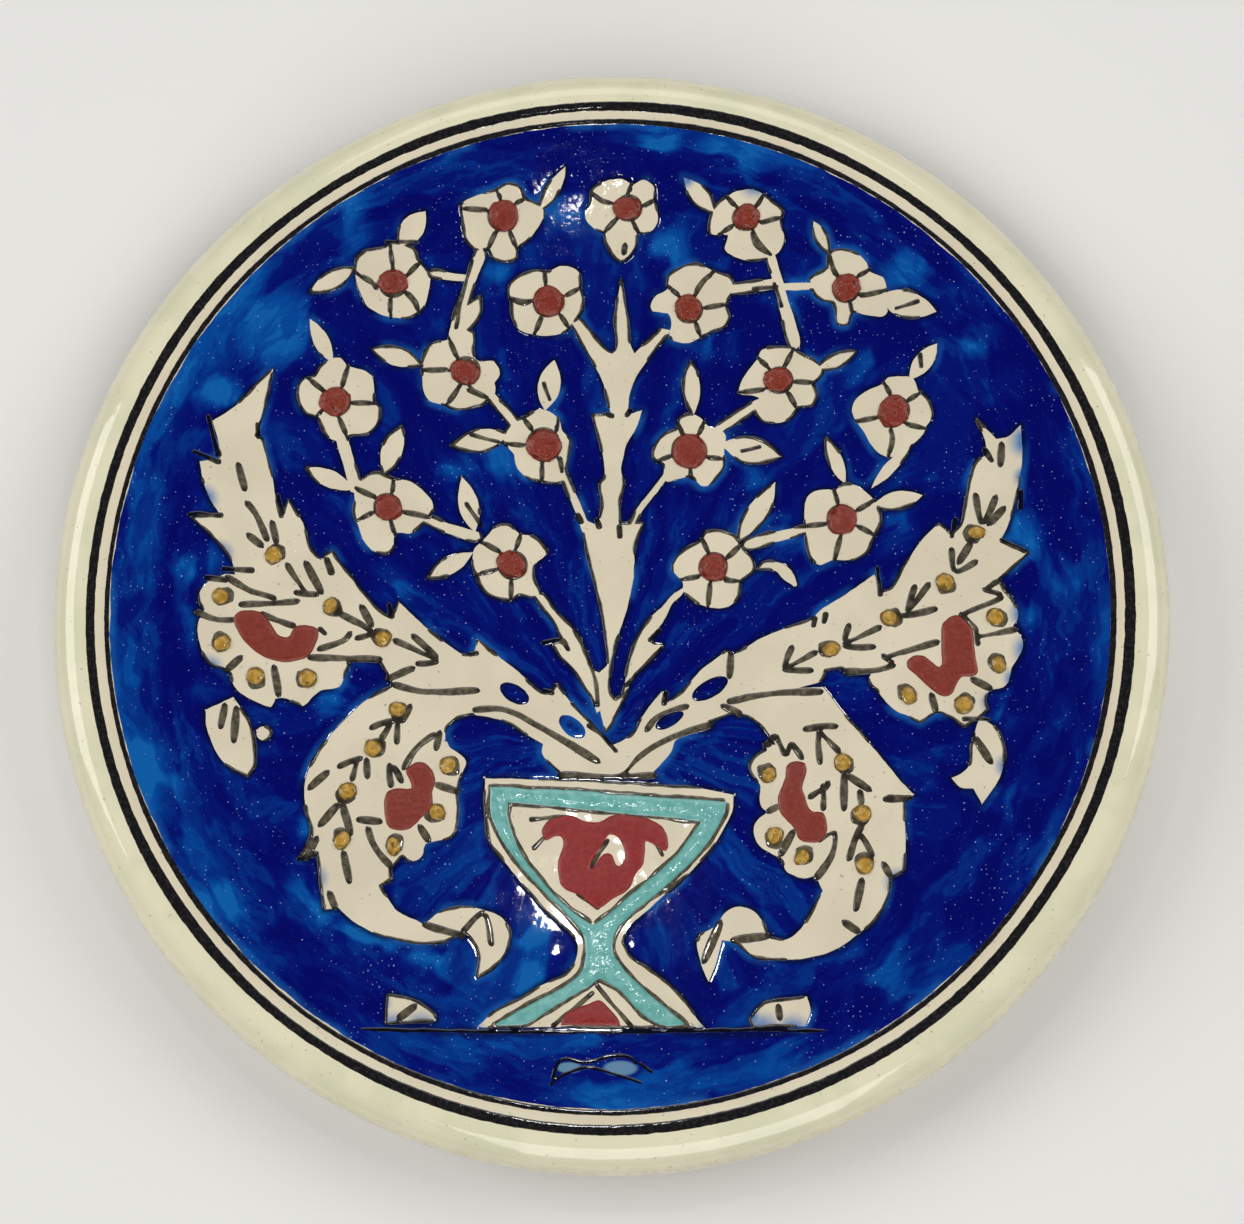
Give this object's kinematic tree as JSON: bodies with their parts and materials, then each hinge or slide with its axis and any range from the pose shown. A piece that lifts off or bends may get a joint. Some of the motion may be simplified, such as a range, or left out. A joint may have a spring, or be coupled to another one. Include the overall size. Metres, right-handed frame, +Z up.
{
  "type": "painted ceramic plate",
  "caption": "Round glazed ceramic plate with a shallow dish, rounded lip and foot ring, painted with a traditional vase of flowers and serrated leaves on a blue ground.",
  "frame": {"origin": "middle of the foot ring, on the surface that the plate stands on", "axes": "+Z up out of the dish, +Y towards the top of the painting"},
  "size_m": [0.24, 0.24, 0.026],
  "materials": {
    "clay": "bare fired clay, seen at the foot",
    "white_glaze": "cream slip under clear gloss glaze",
    "cobalt": "brushed cobalt blue under clear gloss glaze",
    "black_line": "black brush line under clear gloss glaze",
    "grey_line": "thin grey-brown brush line under clear gloss glaze",
    "turquoise": "turquoise under clear gloss glaze",
    "red": "thick brick red, raised, under clear gloss glaze",
    "ochre": "raised ochre drop under clear gloss glaze"
  },
  "bodies": {
    "root": {"clay_body": "clay", "white_coat": "white_glaze", "foot_well_coat": "white_glaze", "cobalt_ground": "cobalt", "field_line": "black_line", "rim_ring": "black_line", "vase_band": "turquoise", "vase_red": "red", "blossom_hearts": "red", "floret_red": "red", "ochre_dots": "ochre", "brush_lines": "grey_line"}
  },
  "joints": []
}
